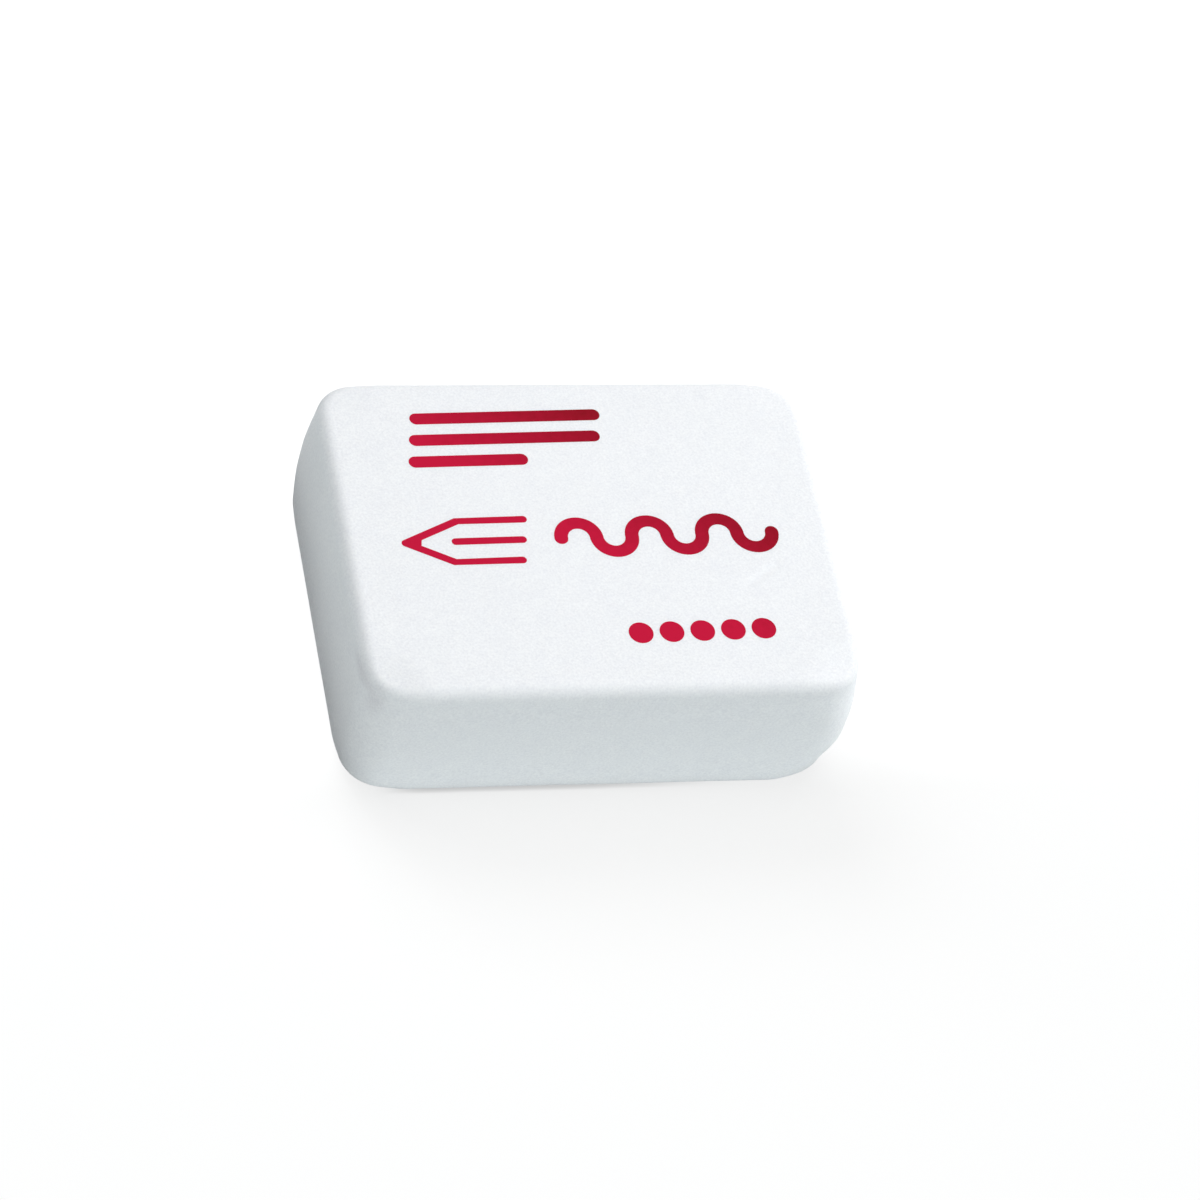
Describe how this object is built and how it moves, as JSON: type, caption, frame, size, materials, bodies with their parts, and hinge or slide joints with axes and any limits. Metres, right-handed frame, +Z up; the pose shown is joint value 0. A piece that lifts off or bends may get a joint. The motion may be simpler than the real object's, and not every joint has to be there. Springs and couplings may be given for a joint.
{
  "type": "rubber eraser",
  "caption": "White block eraser with rounded corners and softened edges, lying flat, with crimson printed marks on its upper face.",
  "frame": {"origin": "middle of the underside, the flat face that the block rests on", "axes": "+X along the long side to the right, +Y along the shorter side to the back, +Z up out of the printed face"},
  "size_m": [0.035, 0.027, 0.0115],
  "materials": {
    "white_vinyl": "matt",
    "crimson_ink": "matt"
  },
  "bodies": {
    "root": {"eraser_block": "white_vinyl", "printed_marks": "crimson_ink"}
  },
  "joints": []
}
